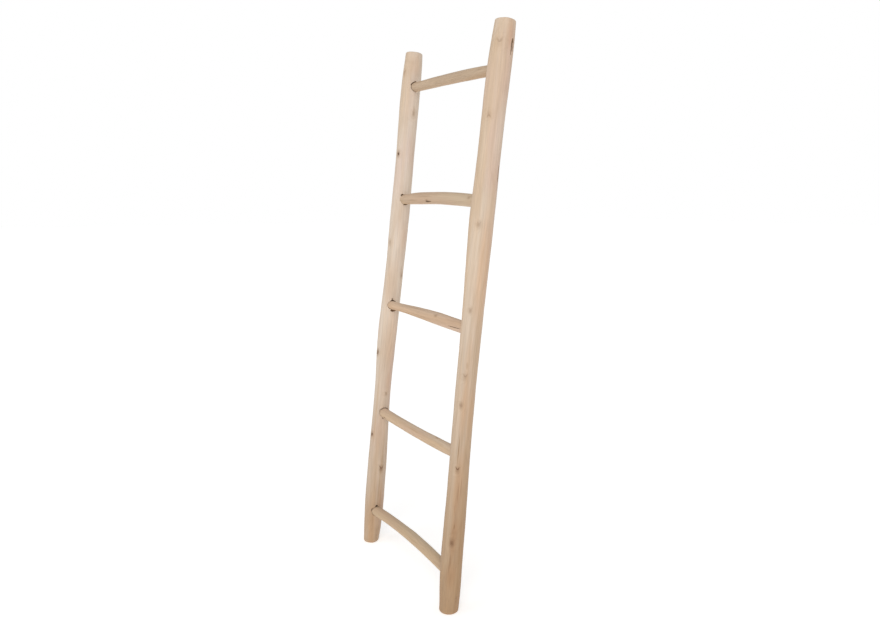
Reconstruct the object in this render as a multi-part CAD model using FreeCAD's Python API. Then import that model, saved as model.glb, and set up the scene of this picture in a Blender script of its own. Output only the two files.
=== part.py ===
import FreeCAD, Part
import math
import os

from FreeCAD import Placement, Rotation, Vector

# A decorative ladder of peeled branches: two poles, five rungs tenoned into blind sockets,
# and one nail from the back through every tenon. Millimetres and degrees.
# The pieces are drawn upright, X along the rungs and Z up the poles, and then leaned back.

# Overall sizes
rail_length = 1500.0
rail_spacing = 450.0       # from heart to heart of the poles
lean_angle = 6.2           # how far the ladder leans back in use
foot_ease = 6.0            # worn edge round the level foot
top_ease = 3.0             # worn edge round the square top

# The natural shape of each pole, from the foot to the top:
# share of the length, bend of the heart, diameter
bend_heading = 59.0        # the bends lie in this upright plane, turned from X towards Y
poles = {
    "left": (
        (0.000, 0.5, 46.5),
        (0.020, 0.5, 50.5),
        (0.045, 0.5, 54.5),
        (0.130, -1.0, 58.5),
        (0.210, -2.5, 55.5),
        (0.330, -4.0, 49.0),
        (0.430, -5.0, 56.5),
        (0.570, 0.5, 55.0),
        (0.660, 2.0, 56.5),
        (0.780, 3.0, 54.0),
        (0.890, 2.0, 57.0),
        (0.960, 3.0, 55.0),
        (1.000, 3.5, 49.0),
    ),
    "right": (
        (0.000, 11.5, 49.5),
        (0.020, 10.0, 52.5),
        (0.050, 8.0, 56.0),
        (0.150, 4.5, 56.5),
        (0.260, 1.5, 53.0),
        (0.370, -1.5, 52.0),
        (0.470, -2.0, 52.5),
        (0.630, -3.0, 60.5),
        (0.780, -1.0, 58.0),
        (0.890, 1.5, 58.5),
        (0.960, 5.0, 57.5),
        (1.000, 7.0, 51.0),
    ),
}

# Where the rungs sit, measured up the poles
bottom_rung_height = 107.0
top_rung_drop = 107.0      # from the top of the poles down to the top rung

# The rungs, from the top down
rung_rise = {               # how far each end sits above its even place
    "left": (7.0, 0.0, 3.5, -8.5, -5.5),
    "right": (-7.0, -6.0, -6.0, -7.0, -7.5),
}
rung_forward = {            # how far each end sits in front of the pole's heart
    "left": (-2.0, 2.0, 8.0, 0.0, 2.5),
    "right": (0.0, 0.0, 0.0, 0.0, 0.0),
}
tenon_diameter = {
    "left": (27.0, 28.0, 25.0, 29.0, 30.0),
    "right": (27.5, 32.0, 32.5, 29.5, 29.5),
}
rung_bow = (2.5, 7.0, 4.0, -5.0, 13.0)     # how far the middle arches up
rung_girth = (              # share of the clear length, diameter
    ((0.15, 27.5), (0.50, 29.0), (0.85, 28.5)),
    ((0.15, 32.5), (0.35, 33.5), (0.70, 34.0), (0.88, 33.5)),
    ((0.20, 25.5), (0.36, 29.0), (0.66, 34.5), (0.88, 34.0)),
    ((0.15, 29.5), (0.45, 29.5), (0.85, 30.5)),
    ((0.12, 30.5), (0.42, 30.0), (0.70, 31.0), (0.88, 30.5)),
)

# Joints: a round tenon in a blind socket with a wider, worn mouth
tenon_clearance = 0.3      # all round
tenon_end_gap = 1.0        # between the tenon and the socket's floor
socket_past_heart = 8.0    # the sockets go this far past the pole's heart
shoulder_gap = 4.0         # the straight tenon starts this far outside the pole
mouth_wider = 1.8          # the worn mouth is this much wider at the pole's skin, all round
mouth_depth = 10.0         # and tapers to the drilled width this far in

# Nails
nail_diameter = 2.8
nail_length = 38.0
nail_head_diameter = 4.8
nail_head_thickness = 1.4
nail_point = 4.0           # length of the point
nail_set = 0.5             # the head lies this far below the pole's back
nail_clearance = 0.05      # all round

up = Vector(0, 0, 1)
front = Vector(0, -1, 0)
foot_setback = rail_length * math.sin(math.radians(lean_angle)) / 2
leaning = Placement(Vector(0, -foot_setback, 0), Rotation(Vector(1, 0, 0), -lean_angle))
floor_up = leaning.Rotation.inverted().multVec(up)     # square to the floor, on the upright ladder


def lean(shape):
    """The upright shape, leaned back on its feet."""
    leaned = shape.copy()
    leaned.Placement = leaning.multiply(leaned.Placement)
    return leaned


def slope(rows, column, row):
    """Slope of a column at a row, from the rows on both sides."""
    before = rows[max(row - 1, 0)]
    after = rows[min(row + 1, len(rows) - 1)]
    return (after[column] - before[column]) / (after[0] - before[0])


def smooth(rows, column, share):
    """A column's value at a share of the length, on a smooth curve through the rows."""
    row = sum(inner[0] <= share for inner in rows[1:-1])
    span = rows[row + 1][0] - rows[row][0]
    t = (share - rows[row][0]) / span
    value = rows[row][column] * (1 + 2 * t) * (1 - t) ** 2
    value += rows[row + 1][column] * t * t * (3 - 2 * t)
    value += slope(rows, column, row) * span * t * (1 - t) ** 2
    value -= slope(rows, column, row + 1) * span * t * t * (1 - t)
    return value


def heart(side, share):
    """The middle of a pole at a share of its length."""
    bend = smooth(poles[side], 1, share)
    heading = math.radians(bend_heading)
    out = rail_spacing / 2 if side == "right" else -rail_spacing / 2
    return Vector(out + bend * math.cos(heading), bend * math.sin(heading), share * rail_length)


def pole_radius(side, share):
    """Half of a pole's girth at a share of its length."""
    return smooth(poles[side], 2, share) / 2


def facing(centre, normal):
    """The place of a round section, with its seam at the front, clear of the sockets and nails."""
    return Placement(centre, Rotation(up, normal).multiply(Rotation(up, -90)))


def ring(centre, normal, radius):
    """A round section of a branch."""
    wire = Part.Wire(Part.makeCircle(radius))
    wire.Placement = facing(centre, normal)
    return wire


def turned(outline, centre, heading):
    """A round solid from its outline as (radius, distance along), placed with its start at a centre."""
    corners = [Vector(radius, 0, along) for radius, along in outline]
    solid = Part.Face(Part.makePolygon(corners + corners[:1])).revolve(Vector(), up, 360)
    solid.Placement = facing(centre, heading)
    return solid


def worn_end(centre, normal, radius, ease, height):
    """The last slice of a pole: a disc whose rim is worn round towards its end, at the signed height."""
    start = Vector(radius, 0, 0)
    middle = Vector(radius - ease * (1 - math.sqrt(0.5)), 0, height * math.sqrt(0.5))
    end = Vector(radius - ease, 0, height)
    tip = Vector(0, 0, height)
    rim = Part.Arc(start, middle, end).toShape()
    sides = [Part.makeLine(Vector(), start), rim, Part.makeLine(end, tip), Part.makeLine(tip, Vector())]
    disc = Part.Face(Part.Wire(sides)).revolve(Vector(), up, 360)
    disc.Placement = facing(centre, normal)
    return disc


def joint_share(number, side):
    """How far up the pole a rung's end goes in, as a share of the pole's length."""
    rung_span = rail_length - top_rung_drop - bottom_rung_height
    even_height = rail_length - top_rung_drop - number * rung_span / (len(rung_bow) - 1)
    return (even_height + rung_rise[side][number]) / rail_length


def rung_heart(number, across):
    """The middle of a rung at a share of the way from its left joint to its right one."""
    left = heart("left", joint_share(number, "left")) + front * rung_forward["left"][number]
    right = heart("right", joint_share(number, "right")) + front * rung_forward["right"][number]
    bow = rung_bow[number] * 4 * across * (1 - across)
    return left + (right - left) * across + up * bow


def rung_heading(number, across):
    """The direction of a rung's heart, from left to right."""
    step = 0.001
    return (rung_heart(number, across + step) - rung_heart(number, across - step)).normalize()


def shoulder(number, side):
    """Where a tenon starts: its share of the way across and its middle, heading into the pole."""
    reach = (pole_radius(side, joint_share(number, side)) + shoulder_gap) / rail_spacing
    across = reach if side == "left" else 1 - reach
    inward = rung_heading(number, across) * (-1 if side == "left" else 1)
    return across, rung_heart(number, across), inward


def socket_reach(number, side):
    """From a tenon's shoulder to the floor of its socket."""
    return pole_radius(side, joint_share(number, side)) + shoulder_gap + socket_past_heart


def socket(number, side):
    """The wood taken out of a pole for a tenon: the drilled hole and its worn, tapered mouth."""
    _, start, inward = shoulder(number, side)
    radius = tenon_diameter[side][number] / 2 + tenon_clearance
    depth = socket_reach(number, side)
    taper = depth - shoulder_gap - mouth_depth
    outline = [
        (0, 0),
        (radius, 0),
        (radius, taper),
        (radius + 2 * mouth_wider, taper + 2 * mouth_depth),
        (0, taper + 2 * mouth_depth),
    ]
    return turned(outline, start + inward * depth, inward * -1)


def rung_blank(number):
    """A rung's bowed branch with its two round tenons."""
    left_across, left_start, left_inward = shoulder(number, "left")
    right_across, right_start, right_inward = shoulder(number, "right")
    rings = [ring(left_start, left_inward * -1, tenon_diameter["left"][number] / 2)]
    for share, girth in rung_girth[number]:
        across = left_across + (right_across - left_across) * share
        rings.append(ring(rung_heart(number, across), rung_heading(number, across), girth / 2))
    rings.append(ring(right_start, right_inward, tenon_diameter["right"][number] / 2))
    solid = Part.makeLoft(rings, True)
    for side in ("left", "right"):
        _, start, inward = shoulder(number, side)
        length = socket_reach(number, side) - tenon_end_gap
        solid = solid.fuse(Part.makeCylinder(tenon_diameter[side][number] / 2, length, start, inward))
    return solid


def nail_top(number, side):
    """The middle of a nail's head, on the back of the pole behind the joint."""
    share = joint_share(number, side)
    return heart(side, share) - front * (pole_radius(side, share) - nail_set)


def nail(number, side):
    """A round nail, driven from the back towards the front."""
    outline = [
        (0, 0),
        (nail_head_diameter / 2, 0),
        (nail_head_diameter / 2, nail_head_thickness),
        (nail_diameter / 2, nail_head_thickness),
        (nail_diameter / 2, nail_length - nail_point),
        (0, nail_length),
    ]
    return turned(outline, nail_top(number, side), front)


def nail_hole(number, side):
    """The hole that a nail makes in the pole and in the tenon, open at the back of the pole."""
    head_radius = nail_head_diameter / 2 + nail_clearance
    shank_radius = nail_diameter / 2 + nail_clearance
    outline = [
        (0, -nail_head_diameter),
        (head_radius, -nail_head_diameter),
        (head_radius, nail_head_thickness + nail_clearance),
        (shank_radius, nail_head_thickness + nail_clearance),
        (shank_radius, nail_length + nail_clearance),
        (0, nail_length + nail_clearance),
    ]
    return turned(outline, nail_top(number, side), front)


def pole_blank(side):
    """A pole's branch: cut level at the foot and square at the top, with both rims worn round."""
    foot_share = heart(side, 0).y * math.tan(math.radians(lean_angle)) / rail_length
    foot = heart(side, foot_share) + floor_up * foot_ease
    foot_radius = pole_radius(side, foot_share)
    top_share = 1 - top_ease / rail_length
    top = heart(side, top_share)
    top_radius = pole_radius(side, top_share)
    rings = [ring(foot, floor_up, foot_radius)]
    rings += [ring(heart(side, row[0]), up, row[2] / 2) for row in poles[side][1:-1]]
    rings.append(ring(top, up, top_radius))
    ends = [
        worn_end(foot, floor_up, foot_radius, foot_ease, -foot_ease),
        worn_end(top, up, top_radius, top_ease, top_ease),
    ]
    return Part.makeLoft(rings, True).fuse(ends)


def rail(side):
    """A pole with its sockets and nail holes."""
    cuts = []
    for number in range(len(rung_bow)):
        cuts.append(socket(number, side))
        cuts.append(nail_hole(number, side))
    return lean(pole_blank(side).cut(cuts))


def rung_piece(number):
    """A rung with the nails' holes through its tenons."""
    holes = [nail_hole(number, side) for side in ("left", "right")]
    return lean(rung_blank(number).cut(holes))


pieces = {}
for side in ("left", "right"):
    pieces[side + "_rail"] = rail(side)
for number in range(len(rung_bow)):
    name = "rung_" + str(number + 1)
    pieces[name] = rung_piece(number)
    for side in ("left", "right"):
        pieces[name + "_" + side + "_nail"] = lean(nail(number, side))

os.makedirs("parts", exist_ok=True)
for name, shape in pieces.items():
    shape.exportStep("parts/" + name + ".step")
    print(name, "solids:", len(shape.Solids), "valid:", shape.isValid(), "volume:", round(shape.Volume))
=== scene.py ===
import math
from functools import partial
from itertools import zip_longest

import bpy
import numpy as np
from mathutils import Euler, Matrix, Vector
from mathutils.bvhtree import BVHTree


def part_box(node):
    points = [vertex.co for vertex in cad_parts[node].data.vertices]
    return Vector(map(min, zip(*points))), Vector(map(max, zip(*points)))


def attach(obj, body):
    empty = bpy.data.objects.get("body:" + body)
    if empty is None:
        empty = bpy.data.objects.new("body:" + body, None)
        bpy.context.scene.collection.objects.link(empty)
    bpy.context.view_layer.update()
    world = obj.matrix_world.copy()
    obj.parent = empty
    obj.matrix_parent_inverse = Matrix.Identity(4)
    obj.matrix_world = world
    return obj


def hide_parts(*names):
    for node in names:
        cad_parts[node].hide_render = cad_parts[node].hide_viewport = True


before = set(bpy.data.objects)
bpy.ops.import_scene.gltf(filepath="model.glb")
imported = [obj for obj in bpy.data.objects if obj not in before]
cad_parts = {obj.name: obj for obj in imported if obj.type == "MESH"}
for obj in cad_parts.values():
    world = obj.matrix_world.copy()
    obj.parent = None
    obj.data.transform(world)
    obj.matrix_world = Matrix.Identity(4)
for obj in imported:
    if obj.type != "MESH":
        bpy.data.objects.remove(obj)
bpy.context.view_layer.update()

# A decorative ladder of two peeled poles and five peeled rungs. Metres, and degrees where named so.

# The ladder as the frame has it
rail_length = 1.5
rail_spacing = 0.45
nail_length = 0.038
lean = math.radians(6.2)
along = Vector((0, math.sin(lean), math.cos(lean)))      # up the poles
across = Vector((1, 0, 0))                               # from the left pole to the right one
behind = along.cross(across)                             # from the front to the back
foot_setback = Vector((0, rail_length * math.sin(lean) / 2, 0))
pole_out = {"left": -across, "right": across}
rung_names = ["rung_" + str(number) for number in range(1, 6)]
pole_turn = Euler((-lean, 0, 0))                         # turns Z up the poles
rung_turn = Euler((0, math.pi / 2, 0))                   # turns Z along the rungs, to the right

# Feeling for the round section of a branch: from how far outside, where a pole's section is whole, and
# in which directions. A pole isn't felt where its sockets and nails are.
feeler_reach = 0.1
whole_from_foot = 0.012
whole_from_top = 0.005
pole_feelers = [math.radians(67.5 + 45 * step) for step in range(6)]
rung_feelers = [math.radians(22.5 + 45 * step) for step in range(8)]

# How finely the branches and cutters are modelled
cage_sides = 16
swell = 3 / (2 + math.cos(2 * math.pi / cage_sides))     # smoothing draws a round ring in by this much
smoothing = 3
cutter_smoothing = 2
cutter_sides = 24
lens_rings = 20
pole_step = 0.0186                                       # between the rings of a pole
rung_step = 0.0170                                       # between the rings of a rung
sharp_edge = math.radians(35)                            # edges that turn further stay sharp
end_facing = 0.9                                         # an end's face turns this far its way

# The ends of the branches: how far their worn rims reach in, and how near to a pole's end its skin stops
foot_rim = 0.0075
top_rim = 0.0055
tenon_rim = 0.0030
skin_margin = 0.0005

# The peeling knife's flats and the branches' own lumps: size round the branch and along it, depth
pole_flats = (0.026, 0.22, 0.0012)
pole_lumps = (0.03, 0.07, 0.0012)
rung_flats = (0.017, 0.14, 0.0009)
rung_lumps = (0.02, 0.05, 0.0008)

# The swelling where a twig grew and its sunk heart, in the twig's radii: size each way, height
knot_swelling = (Vector((2.6, 2.6, 4.0)), 0.18)
knot_heart = (Vector((0.7, 0.7, 0.9)), -0.16)

# How ragged a crack or a slip is, as shares of its size: the lumps' size across and along, their depth
ragged_across = 0.8
ragged_along = 0.2
ragged_depth = 0.35

# Drying checks in the poles' top ends: where they start out from the heart, width and depth of all, and
# degrees round and length of each
check_start = 0.003
check_width = 0.0011
check_depth = 0.006
top_checks = {
    "left": ((35, 0.018), (165, 0.011), (250, 0.008)),
    "right": ((70, 0.021), (215, 0.009), (315, 0.014)),
}

# Where twigs grew on the poles: height, degrees round from the front towards the right, radius,
# and how dark the heart and the wings of the scar are (below 0 where the wings point down)
pole_knots = {
    "left": (
        (1.438, 9, 0.0060, 0.30, 0.40), (1.322, 94, 0.0075, 0.40, 0.30),
        (1.204, 14, 0.0070, 1.00, 0.20), (0.941, 12, 0.0060, 0.40, 0.40),
        (0.845, 116, 0.0060, 0.60, 0.30), (0.605, 4, 0.0080, 1.00, 0.30),
        (0.479, 88, 0.0050, 0.50, 0.50), (0.347, 8, 0.0070, 1.00, 0.20),
        (0.242, 90, 0.0080, 0.85, 1.00), (1.110, 205, 0.0065, 0.60, 0.50),
        (0.700, 250, 0.0060, 0.45, 0.50), (0.330, 190, 0.0070, 0.70, 0.50),
    ),
    "right": (
        (1.440, 40, 0.0092, 0.10, 0.36), (1.273, 34, 0.0065, 0.25, -0.45),
        (1.008, 45, 0.0065, 0.42, 0.35), (0.796, 41, 0.0055, 0.48, 0.30),
        (0.628, 48, 0.0065, 0.30, 0.50), (0.556, 39, 0.0065, 0.60, 0.10),
        (0.388, 48, 0.0065, 0.55, 1.00), (0.197, 50, 0.0082, 1.00, 0.50),
        (1.190, 230, 0.0065, 0.60, 0.50), (0.880, 300, 0.0060, 0.45, 0.50),
        (0.480, 215, 0.0070, 0.70, 0.50),
    ),
}

# Darker streaks in the grain: height, degrees round, half the width, half the length, how dark
pole_streaks = {
    "left": (
        (1.332, 94, 0.0060, 0.022, 0.35), (0.860, 108, 0.0080, 0.030, 0.30),
        (0.270, 96, 0.0060, 0.028, 0.28), (1.440, 12, 0.0030, 0.020, 0.35),
        (0.185, 86, 0.0020, 0.050, 0.22), (0.080, 60, 0.0040, 0.030, 0.25),
        (0.030, 100, 0.0120, 0.050, 0.40), (0.250, 103, 0.0022, 0.060, 0.28),
        (0.600, 60, 0.0240, 0.130, 0.20), (1.460, 100, 0.0140, 0.060, 0.15),
        (0.900, 110, 0.0120, 0.200, 0.12), (0.920, 18, 0.0120, 0.150, 0.15),
        (0.800, 55, 0.0300, 0.100, 0.14),
    ),
    "right": (
        (0.440, 46, 0.0022, 0.060, 0.95), (0.470, 60, 0.0045, 0.060, 0.30),
        (0.658, 52, 0.0050, 0.018, 0.45), (0.240, 55, 0.0028, 0.014, 0.75),
        (0.225, 47, 0.0018, 0.022, 0.55), (0.148, 50, 0.0050, 0.034, 0.55),
        (0.330, 60, 0.0040, 0.045, 0.45), (0.285, 50, 0.0016, 0.030, 0.55),
        (0.350, 75, 0.0020, 0.040, 0.40), (0.130, 44, 0.0016, 0.026, 0.45),
        (0.200, 68, 0.0020, 0.040, 0.35), (0.420, 84, 0.0050, 0.070, 0.25),
        (0.700, 92, 0.0180, 0.150, 0.25), (0.720, 42, 0.0260, 0.260, 0.16),
        (0.105, 38, 0.0200, 0.050, 0.18), (0.440, 57, 0.0130, 0.200, 0.15),
        (0.220, 57, 0.0150, 0.160, 0.26), (0.060, 22, 0.0160, 0.080, 0.22),
    ),
}

# Warmer bands in the wood of the poles: height, degrees round, half the width, half the length, how warm
pole_warm_bands = {
    "left": (
        (1.464, 75, 0.0300, 0.050, 0.25), (0.820, 40, 0.0300, 0.100, 0.18),
        (0.640, 85, 0.0260, 0.140, 0.22), (0.150, 100, 0.0100, 0.100, 0.25),
        (0.950, 99, 0.0140, 0.080, 0.15), (0.517, 99, 0.0120, 0.060, 0.20),
    ),
    "right": (
        (1.463, 95, 0.0140, 0.050, 0.25), (0.880, 97, 0.0200, 0.200, 0.30),
        (0.560, 60, 0.0160, 0.140, 0.34), (0.895, 76, 0.0150, 0.220, 0.42),
        (0.340, 57, 0.0160, 0.160, 0.36), (0.220, 57, 0.0140, 0.100, 0.34),
        (0.110, 55, 0.0200, 0.060, 0.25), (0.670, 60, 0.0160, 0.110, 0.20),
        (0.540, 98, 0.0160, 0.100, 0.20), (0.850, 59, 0.0160, 0.090, 0.15),
    ),
}

# Paler bands, in the same way
pole_pale_bands = {
    "left": (
        (1.190, 48, 0.0260, 0.200, 0.60), (0.950, 59, 0.0140, 0.100, 0.30),
        (0.290, 30, 0.0160, 0.060, 0.50), (0.195, 62, 0.0500, 0.140, 1.00),
        (0.030, 25, 0.0100, 0.040, 0.50),
    ),
    "right": (
        (1.235, 96, 0.0180, 0.130, 0.90), (1.200, 22, 0.0120, 0.120, 0.40),
        (0.970, 22, 0.0140, 0.100, 0.50), (0.110, 100, 0.0120, 0.050, 0.50),
    ),
}

# Drying cracks and torn places in the poles: height, degrees round, length, width, depth. Those at even
# places of the list are cut together, and those at odd ones, so no two of either kind touch.
pole_cracks = {
    "left": (
        (0.120, 79, 0.009, 0.0072, 0.0090), (1.204, 15, 0.008, 0.0042, 0.0065),
        (0.605, 4, 0.013, 0.0045, 0.0040), (0.347, 8, 0.009, 0.0048, 0.0060),
        (1.050, 240, 0.060, 0.0012, 0.0060),
    ),
    "right": (
        (1.434, 106, 0.038, 0.0038, 0.0075), (1.450, 112, 0.012, 0.0060, 0.0040),
        (1.440, 117, 0.032, 0.0028, 0.0050), (0.047, 97, 0.009, 0.0014, 0.0030),
        (0.037, 98, 0.007, 0.0012, 0.0030), (1.135, 125, 0.042, 0.0040, 0.0045),
        (0.620, 236, 0.075, 0.0012, 0.0060),
    ),
}

# The same on the rungs: offset from the ladder's middle, degrees round from the front upwards. Their
# streak tables also hold painted shade along the rungs' undersides
rung_knots = {
    "rung_1": ((-0.090, 150, 0.0045, 0.60, 0.40),),
    "rung_2": (
        (-0.037, -34, 0.0055, 0.90, 0.30), (0.177, 19, 0.0045, 0.50, 0.40),
        (0.060, 140, 0.0045, 0.60, 0.40),
    ),
    "rung_3": ((0.074, 32, 0.0050, 0.55, 0.50),),
    "rung_4": (
        (0.114, 83, 0.0045, 0.60, 0.40), (-0.176, -28, 0.0045, 0.55, 0.80),
        (-0.080, 210, 0.0045, 0.60, 0.40),
    ),
    "rung_5": ((0.020, 150, 0.0045, 0.60, 0.40),),
}
# The last row of each rung is no streak in the grain but a long band of painted shade along its front
# underside
rung_streaks_and_underside_shade = {
    "rung_1": (
        (0.060, -10, 0.0030, 0.050, 0.25), (-0.050, 25, 0.0020, 0.070, 0.25),
        (0.160, 15, 0.0030, 0.020, 0.40), (0.000, -46, 0.0100, 0.350, 0.20),
    ),
    "rung_2": (
        (-0.050, 10, 0.0030, 0.060, 0.25), (0.100, -20, 0.0020, 0.050, 0.25),
        (-0.036, -36, 0.0022, 0.013, 0.80), (-0.120, -25, 0.0050, 0.050, 0.38),
        (0.000, -42, 0.0110, 0.350, 0.18),
    ),
    "rung_3": (
        (0.160, -12, 0.0025, 0.040, 0.40), (-0.050, 20, 0.0020, 0.060, 0.25),
        (-0.060, 52, 0.0060, 0.140, 0.35), (0.020, -18, 0.0045, 0.060, 0.30),
        (0.000, -34, 0.0110, 0.350, 0.15),
    ),
    "rung_4": (
        (0.000, 30, 0.0030, 0.050, 0.25), (0.090, -15, 0.0020, 0.070, 0.25),
        (0.000, -28, 0.0110, 0.350, 0.12),
    ),
    "rung_5": (
        (0.050, 20, 0.0030, 0.050, 0.25), (-0.080, -10, 0.0025, 0.070, 0.25),
        (0.180, 9, 0.0060, 0.050, 0.30), (0.000, -22, 0.0110, 0.350, 0.14),
    ),
}
rung_cracks = {
    "rung_2": ((-0.030, -37, 0.032, 0.0032, 0.0034),),
    "rung_3": ((0.170, -12, 0.060, 0.0015, 0.0040),),
    "rung_4": ((-0.176, -25, 0.008, 0.0014, 0.0030),),
}

# Sockets: room round the tenon, how far the floor and the end of the wall lie past the tenon's last
# ring, depth of the mouth, and size and depth of the lumps in the cut
socket_gap = 0.0004
socket_floor = 0.008
socket_wall = 0.005
mouth_depth = 0.010
socket_lumps = Vector((0.006, 0.006, 0.006))
socket_lump_depth = 0.0012
# How far a mouth is cut up, forwards and all round past the tenon
plain_mouth = (0.0, 0.0, 0.0008)
mouths = {
    ("rung_1", "left"): (0.0006, 0.0012, 0.0010),
    ("rung_2", "left"): (0.0000, -0.0004, 0.0004),
    ("rung_3", "left"): (0.0000, 0.0007, 0.0009),
    ("rung_4", "left"): (0.0012, 0.0004, 0.0010),
    ("rung_5", "left"): (0.0000, 0.0006, 0.0006),
}
# Slips of the chisel at a mouth: degrees round the rung from the front upwards, how far out from the
# tenon, length round the tenon, width, depth
slips = {
    ("rung_1", "left"): ((50, 0.0005, 0.020, 0.0045, 0.006),),
    ("rung_2", "left"): (
        (52, 0.0015, 0.009, 0.0056, 0.007), (-106, 0.0010, 0.018, 0.0044, 0.005),
    ),
    ("rung_3", "left"): (
        (86, 0.0008, 0.011, 0.0056, 0.010), (-106, 0.0032, 0.020, 0.0080, 0.007),
        (120, 0.0010, 0.015, 0.0030, 0.005), (84, 0.0060, 0.003, 0.0084, 0.004),
    ),
    ("rung_4", "left"): (
        (40, 0.0010, 0.015, 0.0030, 0.005), (98, 0.0008, 0.018, 0.0022, 0.004),
        (-72, 0.0030, 0.006, 0.0030, 0.003), (-95, 0.0008, 0.003, 0.0050, 0.003),
    ),
    ("rung_5", "left"): (
        (79, 0.0024, 0.0085, 0.0074, 0.012), (22, 0.0008, 0.013, 0.0054, 0.010),
    ),
    ("rung_2", "right"): ((70, 0.0010, 0.014, 0.0040, 0.005),),
    ("rung_4", "right"): ((-80, 0.0010, 0.012, 0.0040, 0.005),),
}

# The hole of a nail's head in a pole's back: radius, length, and how far its middle lies behind the head
nail_hole_radius = 0.0026
nail_hole_length = 0.012
nail_hole_shift = 0.0042

# Colours of the wood
pale = (0.66, 0.52, 0.40, 1)
tan = (0.60, 0.43, 0.29, 1)
rosy = (0.62, 0.43, 0.33, 1)
honey = (0.55, 0.37, 0.22, 1)
late_wood = (0.36, 0.22, 0.12, 1)
scar_brown = (0.16, 0.074, 0.032, 1)
torn_brown = (0.22, 0.13, 0.07, 1)
torn_tan = (0.42, 0.28, 0.17, 1)
# The streaks' tint, which on the rungs also paints the shade along their undersides
streak_and_shade_tint = (0.58, 0.48, 0.36, 1)
warm_tint = (0.90, 0.58, 0.30, 1)
pale_tint = (1.08, 1.16, 1.27, 1)

# Colours of the nails
bright_steel = (0.52, 0.51, 0.49, 1)
dull_steel = (0.24, 0.20, 0.17, 1)

# How a pole's wood is tinted above and at the foot, and where between (from its middle) it turns. The
# darker tint at the foot is painted shade, the light falling off towards the floor
pole_tones_and_foot_shade = {
    "left": ((1.06, 1.12, 1.19), (0.75, 0.68, 0.60), 0.05, -0.75),
    "right": ((1.06, 1.10, 1.14), (0.655, 0.56, 0.44), 0.15, -0.75),
}
# How a rung's wood is tinted, and from where to where along it, leftwards, its figure grows stronger
rung_tones = {
    "rung_1": (0.82, 0.77, 0.69),
    "rung_2": (0.90, 0.88, 0.79),
    "rung_3": (1.00, 0.955, 0.915),
    "rung_4": (1.00, 1.00, 0.97),
    "rung_5": (0.905, 0.90, 0.83),
}
rung_figure = (0.0, -1.0)

# Noise in the finishes: marks in a metre each way, on wood across and along the branch, and detail
tan_bands = ((26, 26, 0.9), 1.5)
rosy_patches = ((9, 9, 3.0), 2.0)
honey_figure = ((70, 70, 2.4), 3.0)
ring_wander = ((4, 4, 3), 1.0)
ring_ripple = ((34, 34, 4), 1.0)
long_fibres = ((330, 330, 9), 2.0)
fine_fibres = ((1300, 1300, 30), 2.0)
torn_fibres = ((400, 400, 120), 4.0)
dull_patches = ((700, 700, 700), 3.0)

# Fine relief: strength, and height in metres
skin_relief = (0.35, 0.0006)
torn_relief = (0.6, 0.0008)

# The grain: growth rings in a metre, how far the first ring is from the middle, and where in the pattern
# each branch's own grain starts
rings_per_metre = 420.0
pole_pith = Vector((0.004, 0.003, 0))
rung_pith = Vector((0, 0.002, 0.001))
pole_seed = 3.7
pole_seed_step = 5.1
rung_seed = 21.3
rung_seed_step = 4.3

# The studio. Lamps: name, where the light comes from, strength, colour
white = (1, 1, 1, 1)
floor_white = (0.9, 0.9, 0.9, 1)
floor_size = 60
floor_glow = 0.42
room_light = 0.5                                         # the camera sees the room twice as bright
lamps = (
    ("soft front light", (0.66, -0.50, 0.58), 1.04, (1.0, 0.97, 0.93)),
    ("window at the left", (-0.22, -0.86, 0.35), 0.42, (0.78, 0.90, 1.0)),
)
lamp_softness = math.radians(40)
film_width = 36                                          # in millimetres, as is the focal length
focal_length = 28.58
camera_place = (1.670, -0.9567, 1.0622)
camera_dip = 9.32                                        # degrees below the level
camera_heading = 59.18                                   # degrees from straight back towards the left


def alone(piece):
    """Nothing else is selected, and the piece is the one to work on."""
    bpy.ops.object.select_all(action="DESELECT")
    piece.select_set(True)
    bpy.context.view_layer.objects.active = piece


def settle():
    """The piece in hand goes to the origin, with its place in its mesh."""
    bpy.ops.object.transform_apply(location=True, rotation=True, scale=True)


def finish_with(piece, kind, **settings):
    """A modifier with its settings, applied at once."""
    alone(piece)
    modifier = piece.modifiers.new(kind.lower(), kind)
    for setting, value in settings.items():
        setattr(modifier, setting, value)
    bpy.ops.object.modifier_apply(modifier=modifier.name)


def pick_faces(piece, wanted):
    """Selects only the wanted faces and goes to edit mode."""
    alone(piece)
    bpy.ops.object.mode_set(mode="EDIT")
    bpy.ops.mesh.select_mode(type="FACE")
    bpy.ops.mesh.select_all(action="DESELECT")
    bpy.ops.object.mode_set(mode="OBJECT")
    for face in piece.data.polygons:
        face.select = wanted(face)
    bpy.ops.object.mode_set(mode="EDIT")


# Measuring the frame

def solid_of(node_name):
    """The solid of a node, for feeling it with straight lines."""
    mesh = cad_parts[node_name].data
    corners = [vertex.co for vertex in mesh.vertices]
    return BVHTree.FromPolygons(corners, [face.vertices for face in mesh.polygons])


pole_solids = {side: solid_of(side + "_rail") for side in pole_out}
rung_solids = {name: solid_of(name) for name in rung_names}
rung_boxes = {name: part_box(name) for name in rung_names}


def round_section(solid, place, first, second, feelers):
    """The heart and the radius of a round branch in the plane of two directions, felt from outside."""
    rows = []
    for angle in feelers:
        out = first * math.cos(angle) + second * math.sin(angle)
        touch = solid.ray_cast(place + out * feeler_reach, -out)[0] - place
        rows.append((touch.dot(first), touch.dot(second), 0.5))
    rows = np.array(rows)
    # On a circle about (a, b), 2ax + 2by + c is the square of x plus that of y
    fit = np.linalg.lstsq(2 * rows, (rows[:, :2] ** 2).sum(axis=1), rcond=None)[0]
    radius = math.sqrt(fit[2] + fit[0] ** 2 + fit[1] ** 2)
    return place + first * fit[0] + second * fit[1], radius


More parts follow.
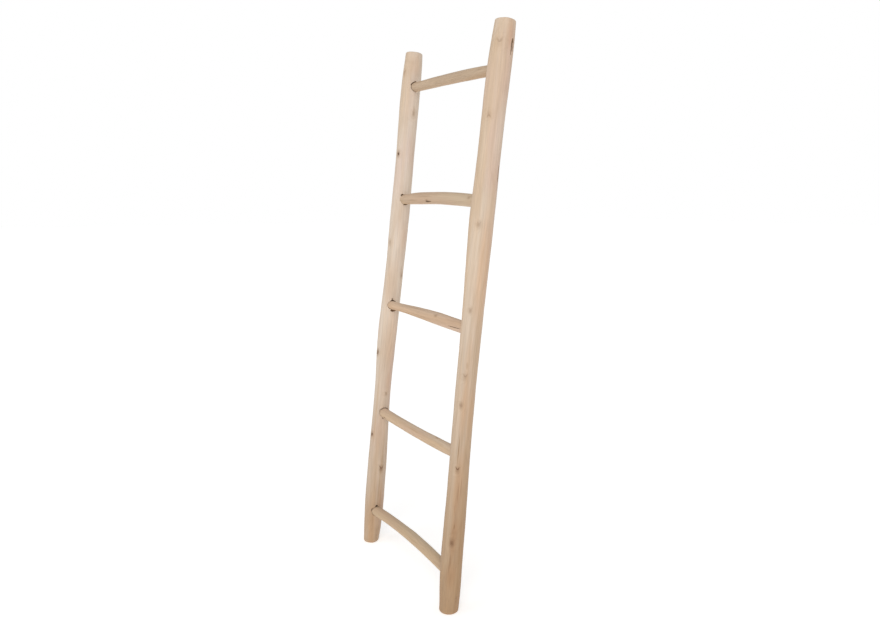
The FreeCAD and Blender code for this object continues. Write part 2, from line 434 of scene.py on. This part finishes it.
def pole_section(side, height):
    """The heart and the radius of a pole, felt on the sides that have no socket and no nail."""
    foot = pole_out[side] * (rail_spacing / 2) - foot_setback
    whole = min(max(height, whole_from_foot), rail_length - whole_from_top)
    place = foot + along * whole
    heart, radius = round_section(pole_solids[side], place, -pole_out[side], behind, pole_feelers)
    return heart + along * (height - whole), radius


def rung_section(name, offset):
    """The heart and the radius of a rung at an offset from the ladder's middle."""
    low, high = rung_boxes[name]
    place = (low + high) / 2
    place.x = offset
    return round_section(rung_solids[name], place, along, behind, rung_feelers)


def even_steps(start, end, step):
    """Places from start to end, about a step apart."""
    count = round((end - start) / step)
    return [start + (end - start) * place / count for place in range(count + 1)]


def pole_spot(side, height, degrees):
    """A place on a pole's skin and the turn of its surface: X round the pole, Y inwards, Z up."""
    heart, radius = pole_section(side, height)
    turn = pole_turn.to_matrix() @ Matrix.Rotation(math.radians(degrees), 3, "Z")
    return heart - turn.col[1] * radius, turn


def rung_spot(name, offset, degrees):
    """A place on a rung's skin and the turn of its surface: X round it, Y inwards, Z to the right."""
    heart, radius = rung_section(name, offset)
    out = along * math.sin(math.radians(degrees)) - behind * math.cos(math.radians(degrees))
    turn = Matrix((across.cross(out), -out, across)).transposed()
    return heart + out * radius, turn


# Branches

def branch(name, rings, turn):
    """A closed branch, extruded from ring to ring along its heart."""
    bpy.ops.object.select_all(action="DESELECT")
    heart, radius = rings[0]
    bpy.ops.mesh.primitive_circle_add(
        vertices=cage_sides, radius=radius * swell, fill_type="NGON", location=heart, rotation=turn)
    piece = bpy.context.object
    piece.name = name
    settle()
    bpy.ops.object.mode_set(mode="EDIT")
    bpy.ops.mesh.select_all(action="SELECT")
    for (heart, radius), (next_heart, next_radius) in zip(rings, rings[1:]):
        bpy.ops.mesh.extrude_region_move(TRANSFORM_OT_translate={"value": next_heart - heart})
        growth = next_radius / radius
        bpy.ops.transform.resize(value=(growth, growth, growth), center_override=next_heart)
    bpy.ops.mesh.select_all(action="SELECT")
    bpy.ops.mesh.normals_make_consistent(inside=False)
    bpy.ops.object.mode_set(mode="OBJECT")
    return piece


def inset_end(piece, direction, thickness):
    """A ring inside an end's rim, which keeps the end flat when the branch is smoothed."""

    def is_end(face):
        return len(face.vertices) == cage_sides and face.normal.dot(direction) > end_facing

    pick_faces(piece, is_end)
    bpy.ops.mesh.inset(thickness=thickness)
    bpy.ops.object.mode_set(mode="OBJECT")


def smooth(piece, levels):
    """The cage of a branch, made round."""
    finish_with(piece, "SUBSURF", levels=levels, render_levels=levels)


def pole_blank(side):
    """A peeled pole with a level foot and a square top."""
    heights = [0.0, foot_rim]
    heights += even_steps(2 * foot_rim, rail_length - 2 * top_rim, pole_step)
    heights += [rail_length - top_rim, rail_length]
    pole = branch(side + "_pole", [pole_section(side, height) for height in heights], pole_turn)
    pick_faces(pole, lambda face: face.normal.dot(along) < -end_facing)
    bpy.ops.transform.resize(value=(1, 1, 0), center_override=(0, 0, 0))
    bpy.ops.object.mode_set(mode="OBJECT")
    inset_end(pole, -along, foot_rim)
    inset_end(pole, along, top_rim)
    smooth(pole, smoothing)
    return pole


def rung_blank(name):
    """A peeled rung with its two tenons."""
    low, high = rung_boxes[name]
    offsets = even_steps(low.x + tenon_rim, high.x - tenon_rim, rung_step)
    rung = branch("peeled_" + name, [rung_section(name, offset) for offset in offsets], rung_turn)
    inset_end(rung, across, tenon_rim)
    inset_end(rung, -across, tenon_rim)
    smooth(rung, smoothing)
    return rung


# Uneven skin

flats = bpy.data.textures.new("drawknife flats", "VORONOI")
flats.noise_scale = 1.0
lumps = bpy.data.textures.new("lumps", "CLOUDS")
lumps.noise_scale = 1.0
bump = bpy.data.textures.new("bump", "BLEND")
bump.progression = "SPHERICAL"
bump.use_color_ramp = True
bump.color_ramp.interpolation = "EASE"
bump.color_ramp.elements[0].color = (0, 0, 0, 1)
bump.color_ramp.elements[1].color = (1, 1, 1, 1)


def press(piece, pattern, place, turn, size, depth, level=0.5):
    """Moves the piece's skin out by a pattern of a size, up to a depth."""
    gauge = bpy.data.objects.new("gauge", None)
    bpy.context.scene.collection.objects.link(gauge)
    gauge.matrix_world = Matrix.LocRotScale(place, turn, size)
    bpy.context.view_layer.update()
    skin = "skin" if "skin" in piece.vertex_groups else ""
    finish_with(piece, "DISPLACE", texture=pattern, texture_coords="OBJECT", texture_coords_object=gauge,
                strength=depth, mid_level=level, vertex_group=skin)
    bpy.data.objects.remove(gauge)


def keep_ends(piece, inside):
    """Only the skin between the ends takes patterns."""
    skin = piece.vertex_groups.new(name="skin")
    skin.add([vertex.index for vertex in piece.data.vertices if inside(vertex.co)], 1, "REPLACE")


def peel(piece, turn, own_flats, own_lumps):
    """The long flats of the peeling knife, and the branch's own lumps."""
    for pattern, (girth, length, depth) in ((flats, own_flats), (lumps, own_lumps)):
        press(piece, pattern, Vector(), turn, Vector((girth, girth, length)), depth)


def grow_knots(piece, spot, rows):
    """Swellings where twigs grew, each with the twig's sunk heart in it."""
    for position, degrees, radius, _, _ in rows:
        place, turn = spot(position, degrees)
        for spread, height in (knot_swelling, knot_heart):
            press(piece, bump, place, turn.to_euler(), spread * radius, height * radius, level=0)


def skin_with(piece, finish):
    """The finish of a branch's skin, and cut wood for what will be carved."""
    piece.vertex_groups.clear()
    piece.data.materials.clear()
    piece.data.materials.append(finish)
    piece.data.materials.append(cut_wood)


def soften(piece):
    """Smooth shading, apart from the sharp edges."""
    alone(piece)
    bpy.ops.object.shade_smooth_by_angle(angle=sharp_edge)


# Cutters

def lens(place, turn, width, depth, length):
    """A slim ragged cutter, pointed at both ends, half sunk in the skin."""
    bpy.ops.object.select_all(action="DESELECT")
    bpy.ops.mesh.primitive_uv_sphere_add(segments=cutter_sides, ring_count=lens_rings, radius=0.5)
    cutter = bpy.context.object
    cutter.matrix_world = Matrix.LocRotScale(place, turn, Vector((width, 2 * depth, length)))
    settle()
    ragged = Vector((ragged_across * width, ragged_across * depth, ragged_along * length))
    press(cutter, lumps, place, turn, ragged, ragged_depth * min(width, depth))
    return cutter


def crack_cutters(spot, rows):
    """The cutters of the cracks in a table, on a branch."""
    cutters = []
    for position, degrees, length, width, depth in rows:
        place, turn = spot(position, degrees)
        cutters.append(lens(place, turn, width, depth, length))
    return cutters


def joint(name, side):
    """The heart and radius of a tenon at its end, and the same where it leaves the pole."""
    low, high = rung_boxes[name]
    end = low.x + tenon_rim if side == "left" else high.x - tenon_rim
    heart, radius = rung_section(name, end)
    pole_heart, pole_radius = pole_section(side, (heart + foot_setback).dot(along))
    skin = pole_heart.x - pole_out[side].x * pole_radius
    return heart, radius, *rung_section(name, skin)


def socket_cutter(name, side):
    """The drilled socket of a tenon, with its hand-cut mouth."""
    heart, radius, mouth, mouth_radius = joint(name, side)
    inward = (heart - mouth).normalized()
    up, forwards, wider = mouths.get((name, side), plain_mouth)
    shift = along * up - behind * forwards
    drilled = radius + socket_gap
    rings = [
        (heart + inward * socket_floor, drilled),
        (heart + inward * socket_wall, drilled),
        (mouth + inward * mouth_depth, drilled),
        (mouth + inward * mouth_depth / 2 + shift / 2, mouth_radius + socket_gap + wider / 2),
        (mouth + shift, mouth_radius + wider),
        (mouth - inward * mouth_depth + shift * 2, mouth_radius + 2 * wider),
        (mouth - inward * 3 * mouth_depth + shift * 2, mouth_radius + 2 * wider),
    ]
    cutter = branch("socket", rings, Euler((0, -pole_out[side].x * math.pi / 2, 0)))
    smooth(cutter, cutter_smoothing)
    press(cutter, lumps, Vector(), Euler(), socket_lumps, socket_lump_depth)
    return cutter


def slip_cutter(name, side, slip):
    """One slip of the chisel beside a socket's mouth, on the pole's skin."""
    _, _, mouth, radius = joint(name, side)
    degrees, distance, length, width, depth = slip
    angle = math.radians(degrees)
    out = along * math.sin(angle) - behind * math.cos(angle)
    beside = mouth + out * (radius + distance)
    heart, pole_radius = pole_section(side, (beside + foot_setback).dot(along))
    forwards = behind.dot(heart - beside)
    half_chord = math.sqrt(pole_radius ** 2 - forwards ** 2)
    skin = heart - behind * forwards - pole_out[side] * half_chord
    sunk = (heart - skin).normalized()
    outwards = (out - sunk * out.dot(sunk)).normalized()
    turn = Matrix((outwards, sunk, outwards.cross(sunk))).transposed()
    return lens(skin, turn, width, depth, length)


def check_cutter(side, degrees, length):
    """A drying check in a pole's top end, from near its heart outwards."""
    heart, _ = pole_section(side, rail_length)
    angle = math.radians(degrees)
    out = across * math.sin(angle) - behind * math.cos(angle)
    turn = Matrix(((-along).cross(out), -along, out)).transposed()
    return lens(heart + out * (check_start + length / 2), turn, check_width, check_depth, length)


def nail_cutter(name, side):
    """The hole of a nail's head in the back of a pole."""
    low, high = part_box(name + "_" + side + "_nail")
    head = (low + high) / 2 + behind * nail_length / 2
    bpy.ops.object.select_all(action="DESELECT")
    bpy.ops.mesh.primitive_cylinder_add(
        vertices=cutter_sides, radius=nail_hole_radius, depth=nail_hole_length,
        location=head + behind * nail_hole_shift, rotation=(-math.pi / 2 - lean, 0, 0))
    cutter = bpy.context.object
    settle()
    return cutter


def carve(piece, cutters):
    """Cuts all the cutters out of the piece, and leaves cut wood there."""
    if not cutters:
        return
    for cutter in cutters:
        cutter.data.materials.clear()
        cutter.data.materials.append(cut_wood)
    alone(cutters[0])
    for cutter in cutters[1:]:
        cutter.select_set(True)
    if len(cutters) > 1:
        bpy.ops.object.join()
    tool = bpy.context.object
    finish_with(piece, "BOOLEAN", object=tool, operation="DIFFERENCE", solver="MANIFOLD")
    bpy.data.objects.remove(tool)


# Steps of a finish

def new_finish(name):
    """A new material, with its nodes and its shader."""
    material = bpy.data.materials.new(name)
    material.use_nodes = True
    return material, material.node_tree, material.node_tree.nodes["Principled BSDF"]


def node(tree, kind, inputs, **settings):
    """A new shader node with its settings, and its inputs set or linked."""
    made = tree.nodes.new("ShaderNode" + kind)
    for setting, value in settings.items():
        setattr(made, setting, value)
    for socket, value in inputs.items():
        if isinstance(value, bpy.types.NodeSocket):
            tree.links.new(value, made.inputs[socket])
        else:
            made.inputs[socket].default_value = value
    return made


def object_place(tree):
    """Where a point of the piece is, in the ladder's own frame."""
    return node(tree, "TexCoord", {}).outputs["Object"]


def calculate(tree, operation, first, second=0.0):
    """One step of arithmetic."""
    return node(tree, "Math", {0: first, 1: second}, operation=operation).outputs[0]


def plus(tree, first, second):
    """The sum of two values."""
    return calculate(tree, "ADD", first, second)


def minus(tree, first, second):
    """The first value less the second."""
    return calculate(tree, "SUBTRACT", first, second)


def times(tree, first, second):
    """The product of two values."""
    return calculate(tree, "MULTIPLY", first, second)


def size_of(tree, value):
    """A value without its sign."""
    return calculate(tree, "ABSOLUTE", value)


def strongest(tree, values):
    """The largest of several values from 0 up."""
    result = 0.0
    for value in values:
        result = calculate(tree, "MAXIMUM", result, value)
    return result


def moved(tree, place, step):
    """A place, moved by a step."""
    return node(tree, "VectorMath", {0: place, 1: step}, operation="ADD").outputs[0]


def stretched(tree, place, factors):
    """A place, times a factor each way."""
    return node(tree, "VectorMath", {0: place, 1: factors}, operation="MULTIPLY").outputs[0]


def length_of(tree, place):
    """How far a place is from its origin."""
    return node(tree, "VectorMath", {0: place}, operation="LENGTH").outputs["Value"]


def near(tree, point, place, turn, size):
    """A point as seen from a place and its turn, in units of a size."""
    inputs = {"Vector": point, "Location": place, "Rotation": turn, "Scale": size}
    return node(tree, "Mapping", inputs, vector_type="TEXTURE").outputs[0]


def fade(tree, value, start, end):
    """From 0 at the start to 1 at the end, with soft ends."""
    inputs = {"Value": value, "From Min": start, "From Max": end}
    if start > end:
        inputs.update({"From Min": end, "From Max": start, "To Min": 1.0, "To Max": 0.0})
    return node(tree, "MapRange", inputs, interpolation_type="SMOOTHSTEP").outputs[0]


def ramp(tree, value, start, end, low, high):
    """From low at the start to high at the end, evenly."""
    inputs = {"Value": value, "From Min": start, "From Max": end, "To Min": low, "To Max": high}
    return node(tree, "MapRange", inputs).outputs[0]


def mix(tree, share, first, second, blend="MIX"):
    """Two colours, mixed by a share."""
    inputs = {0: share, 6: first, 7: second}
    return node(tree, "Mix", inputs, data_type="RGBA", blend_type=blend).outputs[2]


def tinted(tree, share, colour, tint):
    """A colour, tinted by a share."""
    return mix(tree, share, colour, tint, "MULTIPLY")


def mottle(tree, place, marks, detail):
    """Soft noise, with so many marks in a metre each way."""
    inputs = {"Vector": stretched(tree, place, marks), "Scale": 1.0, "Detail": detail}
    return node(tree, "TexNoise", inputs).outputs[0]


def roughen(tree, shader, height, strength, distance):
    """Fine relief on a finish, by a height."""
    relief = node(tree, "Bump", {"Height": height, "Strength": strength, "Distance": distance})
    tree.links.new(relief.outputs[0], shader.inputs["Normal"])


# Twig scars, in the twig's radii

def ragged_place(tree, place):
    """A place in a scar, moved a little to and fro."""
    half = (0.5, 0.5, 0.5)
    inputs = {"Vector": object_place(tree), "Scale": 130.0, "Detail": 3.0}
    noise = node(tree, "TexNoise", inputs).outputs["Color"]
    level = node(tree, "VectorMath", {0: noise, 1: half}, operation="SUBTRACT").outputs[0]
    return moved(tree, place, stretched(tree, level, half))


def scar_heart(tree, place):
    """The twig's own wood: a disc that is darkest at its pith, a rim and a soft halo."""
    heart = length_of(tree, stretched(tree, place, (1, 1, 0.7)))
    pith = plus(tree, times(tree, fade(tree, heart, 0.40, 0.0), 0.40), 0.60)
    disc = times(tree, fade(tree, heart, 0.66, 0.42), pith)
    rim = fade(tree, size_of(tree, minus(tree, heart, 0.46)), 0.24, 0.0)
    halo = fade(tree, length_of(tree, stretched(tree, place, (0.75, 0.75, 0.42))), 1.0, 0.3)
    return strongest(tree, [disc, times(tree, rim, 0.78), times(tree, halo, 0.45)])


def scar_wings(tree, place):
    """The V of bark above the twig."""
    parts = node(tree, "SeparateXYZ", {0: place}).outputs
    from_wing = minus(tree, size_of(tree, parts["X"]), times(tree, parts["Z"], 0.55))
    wing = fade(tree, size_of(tree, from_wing), 0.55, 0.05)
    wing = times(tree, wing, fade(tree, parts["Z"], -0.1, 0.3))
    wing = times(tree, wing, fade(tree, parts["Z"], 1.9, 0.4))
    return times(tree, wing, fade(tree, size_of(tree, parts["Y"]), 2.0, 1.0))


def scar_pattern():
    """The mark of a twig: a dark heart, a V of bark above it and a swirl in the grain."""
    tree = bpy.data.node_groups.new("twig scar", "ShaderNodeTree")
    tree.interface.new_socket("Place", in_out="INPUT", socket_type="NodeSocketVector")
    for mark in ("Heart", "Wings", "Swirl"):
        tree.interface.new_socket(mark, in_out="OUTPUT", socket_type="NodeSocketFloat")
    place = ragged_place(tree, tree.nodes.new("NodeGroupInput").outputs["Place"])
    swirl = fade(tree, length_of(tree, place), 3.4, 0.2)
    result = tree.nodes.new("NodeGroupOutput")
    tree.links.new(scar_heart(tree, place), result.inputs["Heart"])
    tree.links.new(scar_wings(tree, place), result.inputs["Wings"])
    tree.links.new(swirl, result.inputs["Swirl"])
    return tree


twig_scar = scar_pattern()


def scars_at(spot, rows):
    """Where the twig scars of a table stand on a branch, how large they are and how dark."""
    scars = []
    for position, degrees, radius, heart_share, wing_share in rows:
        place, turn = spot(position, degrees)
        upwards = math.copysign(radius, wing_share)
        scars.append((place, turn.to_euler(), (radius, radius, upwards), heart_share, abs(wing_share)))
    return scars


def scar_marks(tree, point, scars):
    """How dark a branch is at its scars, and how far its grain swirls round them."""
    darks = []
    swirls = []
    for place, turn, size, heart_share, wing_share in scars:
        mark = node(tree, "Group", {}, node_tree=twig_scar)
        tree.links.new(near(tree, point, place, turn, size), mark.inputs["Place"])
        darks.append(times(tree, mark.outputs["Heart"], heart_share))
        darks.append(times(tree, mark.outputs["Wings"], wing_share))
        swirls.append(mark.outputs["Swirl"])
    return strongest(tree, darks), strongest(tree, swirls)


# Streaks and bands

def marks_at(spot, rows):
    """Where the streaks or bands of a table stand on a branch, how large they are and how strong."""
    marks = []
    for position, degrees, half_width, half_length, share in rows:
        place, turn = spot(position, degrees)
        marks.append((place, turn.to_euler(), (half_width, 2 * half_width, half_length), share))
    return marks


def share_of(tree, point, marks):
    """How strong a branch's streaks or bands are at a point."""
    shares = []
    for place, turn, size, share in marks:
        inside = length_of(tree, near(tree, point, place, turn, size))
        shares.append(times(tree, fade(tree, inside, 1.0, 0.15), share))
    return strongest(tree, shares)


# Finishes

def late_rings(tree, grown, own, swirl):
    """The dark late wood of the growth rings, which waver and swirl round the scars."""
    wander = mottle(tree, own, *ring_wander)
    ripple = mottle(tree, own, *ring_ripple)
    depth = length_of(tree, stretched(tree, grown, (1, 1, 0)))
    rings = times(tree, depth, rings_per_metre)
    for waver, rings_off in ((wander, 3.0), (ripple, 1.5), (swirl, 1.4)):
        rings = plus(tree, rings, times(tree, waver, rings_off))
    return fade(tree, calculate(tree, "PINGPONG", rings, 0.5), 0.28, 0.5)


def end_grain(tree, turn):
    """1 on the ends of a branch, 0 on its skin."""
    normal = node(tree, "NewGeometry", {}).outputs["Normal"]
    heading = turn.to_matrix().col[2]
    facing = node(tree, "VectorMath", {0: normal, 1: heading}, operation="DOT_PRODUCT").outputs["Value"]
    return fade(tree, size_of(tree, facing), 0.55, 0.9)


def patched_wood(tree, own, low):
    """Pale wood with tan bands and rosy patches, and a honey figure that is stronger low down."""
    bands = fade(tree, mottle(tree, own, *tan_bands), 0.38, 0.62)
    patches = fade(tree, mottle(tree, own, *rosy_patches), 0.48, 0.68)
    figure = fade(tree, mottle(tree, own, *honey_figure), 0.5, 0.75)
    figure_share = plus(tree, times(tree, low, 0.4), 0.35)
    colour = mix(tree, bands, pale, tan)
    colour = mix(tree, times(tree, patches, 0.7), colour, rosy)
    return mix(tree, times(tree, figure, figure_share), colour, honey)


def wood(name, heart, turn, seed, scars, layers, tones):
    """Peeled wood with its rings, fibres, tones and twig scars, and layers of tinted marks."""
    material, tree, shader = new_finish(name)
    point = object_place(tree)
    grown = near(tree, point, heart, turn, (1, 1, 1))
    own = moved(tree, grown, (seed, 2 * seed, 3 * seed))
    tone, low_tone_and_shade, low_from, low_to = tones
    low = fade(tree, node(tree, "SeparateXYZ", {0: grown}).outputs["Z"], low_from, low_to)
    dark, swirl = scar_marks(tree, point, scars)
    late = late_rings(tree, grown, own, swirl)
    fibre = mottle(tree, own, *long_fibres)
    fine = mottle(tree, own, *fine_fibres)
    threads = plus(tree, fibre, times(tree, fine, 0.8))

    colour = patched_wood(tree, own, low)
    ring_share = plus(tree, times(tree, end_grain(tree, turn), 0.22), 0.08)
    colour = mix(tree, times(tree, late, ring_share), colour, late_wood)
    colour = tinted(tree, 1.0, colour, ramp(tree, threads, 0.6, 1.2, 0.89, 1.08))
    # The tint towards the low end: on the poles it darkens the foot as painted shade, on the rungs it is
    # the same as the tone
    colour = tinted(tree, 1.0, colour, mix(tree, low, (*tone, 1), (*low_tone_and_shade, 1)))
    for tint, marks in layers:
        colour = tinted(tree, share_of(tree, point, marks), colour, tint)
    colour = mix(tree, times(tree, swirl, 0.20), colour, honey)
    colour = mix(tree, times(tree, dark, 0.9), colour, scar_brown)
    tree.links.new(colour, shader.inputs["Base Color"])

    tree.links.new(ramp(tree, fibre, 0.3, 0.7, 0.52, 0.70), shader.inputs["Roughness"])
    shader.inputs["Specular IOR Level"].default_value = 0.35
    height = minus(tree, plus(tree, threads, times(tree, late, -0.25)), times(tree, dark, 0.8))
    roughen(tree, shader, height, *skin_relief)
    return material


def torn_wood():
    """Cut and torn wood: darker, with rough fibres."""
    material, tree, shader = new_finish("cut wood")
    fibre = mottle(tree, object_place(tree), *torn_fibres)
    colour = mix(tree, fade(tree, fibre, 0.35, 0.7), torn_brown, torn_tan)
    tree.links.new(colour, shader.inputs["Base Color"])
    shader.inputs["Roughness"].default_value = 0.8
    roughen(tree, shader, fibre, *torn_relief)
    return material


def nail_steel():
    """Bright drawn steel, dulled in patches."""
    material, tree, shader = new_finish("nail steel")
    dull = mottle(tree, object_place(tree), *dull_patches)
    colour = mix(tree, fade(tree, dull, 0.45, 0.7), bright_steel, dull_steel)
    tree.links.new(colour, shader.inputs["Base Color"])
    tree.links.new(ramp(tree, dull, 0.0, 1.0, 0.30, 0.62), shader.inputs["Roughness"])
    shader.inputs["Metallic"].default_value = 1.0
    return material


# The poles

def pole_wood(side, seed):
    """The wood of one pole, with its own scars, bands and streaks, and painted shade darkening it
    towards its foot.
    """
    spot = partial(pole_spot, side)
    layers = (
        (warm_tint, marks_at(spot, pole_warm_bands[side])),
        (pale_tint, marks_at(spot, pole_pale_bands[side])),
        (streak_and_shade_tint, marks_at(spot, pole_streaks[side])),
    )
    scars = scars_at(spot, pole_knots[side])
    heart, _ = pole_section(side, rail_length / 2)
    return wood(side + " pole wood", heart + pole_pith, pole_turn, seed, scars, layers, pole_tones_and_foot_shade[side])


def make_pole(side, seed):
    """A pole with its knots, sockets, nail holes, cracks and slips of the chisel."""
    spot = partial(pole_spot, side)
    pole = pole_blank(side)
    skin_top = rail_length - skin_margin
    keep_ends(pole, lambda co: co.z > skin_margin and (co + foot_setback).dot(along) < skin_top)
    peel(pole, pole_turn, pole_flats, pole_lumps)
    grow_knots(pole, spot, pole_knots[side])
    skin_with(pole, pole_wood(side, seed))
    carve(pole, [socket_cutter(name, side) for name in rung_names])
    small = [nail_cutter(name, side) for name in rung_names]
    small += [check_cutter(side, degrees, length) for degrees, length in top_checks[side]]
    carve(pole, small)
    carve(pole, crack_cutters(spot, pole_cracks[side][::2]))
    carve(pole, crack_cutters(spot, pole_cracks[side][1::2]))
    # Slips of one mouth may touch, so each round takes one slip from every mouth
    for each in zip_longest(*[slips.get((name, side), ()) for name in rung_names]):
        carve(pole, [slip_cutter(name, side, slip) for name, slip in zip(rung_names, each) if slip])
    soften(pole)
    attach(pole, "root")
    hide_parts(side + "_rail")


# The rungs

def rung_wood(name, seed):
    """The wood of one rung, with its own scars and streaks, and painted shade along its underside."""
    spot = partial(rung_spot, name)
    # The last streak of each rung is painted shade along its underside
    layers = ((streak_and_shade_tint, marks_at(spot, rung_streaks_and_underside_shade[name])),)
    scars = scars_at(spot, rung_knots[name])
    tones = (rung_tones[name], rung_tones[name], *rung_figure)
    heart, _ = rung_section(name, 0.0)
    return wood(name + " wood", heart + rung_pith, rung_turn, seed, scars, layers, tones)


def make_rung(name, seed):
    """A rung with its knots and cracks."""
    spot = partial(rung_spot, name)
    rung = rung_blank(name)
    _, _, left_mouth, _ = joint(name, "left")
    _, _, right_mouth, _ = joint(name, "right")
    keep_ends(rung, lambda co: left_mouth.x < co.x < right_mouth.x)
    peel(rung, rung_turn, rung_flats, rung_lumps)
    grow_knots(rung, spot, rung_knots[name])
    skin_with(rung, rung_wood(name, seed))
    carve(rung, crack_cutters(spot, rung_cracks.get(name, ())))
    soften(rung)
    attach(rung, "root")
    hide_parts(name)


# The nails keep the frame's shape

def finish_nails():
    """Steel on every nail."""
    steel = nail_steel()
    for name in rung_names:
        for side in pole_out:
            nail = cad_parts[name + "_" + side + "_nail"]
            nail.data.materials.clear()
            nail.data.materials.append(steel)


cut_wood = torn_wood()
for count, side in enumerate(pole_out):
    make_pole(side, pole_seed + pole_seed_step * count)
for count, name in enumerate(rung_names):
    make_rung(name, rung_seed + rung_seed_step * count)
finish_nails()


# Floor, light and camera

def lay_floor():
    """A plain white floor."""
    bpy.ops.object.select_all(action="DESELECT")
    bpy.ops.mesh.primitive_plane_add(size=floor_size)
    floor = bpy.context.object
    floor.name = "floor"
    finish, _, shader = new_finish("white floor")
    shader.inputs["Base Color"].default_value = floor_white
    shader.inputs["Roughness"].default_value = 0.9
    shader.inputs["Emission Color"].default_value = white
    shader.inputs["Emission Strength"].default_value = floor_glow
    floor.data.materials.append(finish)


def light_room():
    """A white room with soft light from the front."""
    world = bpy.data.worlds.new("white room")
    world.use_nodes = True
    tree = world.node_tree
    background = tree.nodes["Background"]
    background.inputs["Color"].default_value = white
    seen = node(tree, "LightPath", {}).outputs["Is Camera Ray"]
    strength = plus(tree, times(tree, seen, room_light), room_light)
    tree.links.new(strength, background.inputs["Strength"])
    bpy.context.scene.world = world
    bpy.context.scene.view_settings.view_transform = "Standard"

    for name, direction, energy, colour in lamps:
        sun = bpy.data.lights.new(name, "SUN")
        sun.energy = energy
        sun.color = colour
        sun.angle = lamp_softness
        lamp = bpy.data.objects.new(name, sun)
        lamp.rotation_euler = Vector(direction).to_track_quat("Z", "Y").to_euler()
        bpy.context.scene.collection.objects.link(lamp)


def set_camera():
    """The camera, where the photograph was taken from."""
    view = bpy.data.cameras.new("camera")
    view.sensor_width = film_width
    view.lens = focal_length
    camera = bpy.data.objects.new("camera", view)
    camera.location = camera_place
    camera.rotation_euler = (math.radians(90 - camera_dip), 0, math.radians(camera_heading))
    bpy.context.scene.collection.objects.link(camera)
    bpy.context.scene.camera = camera


lay_floor()
light_room()
set_camera()
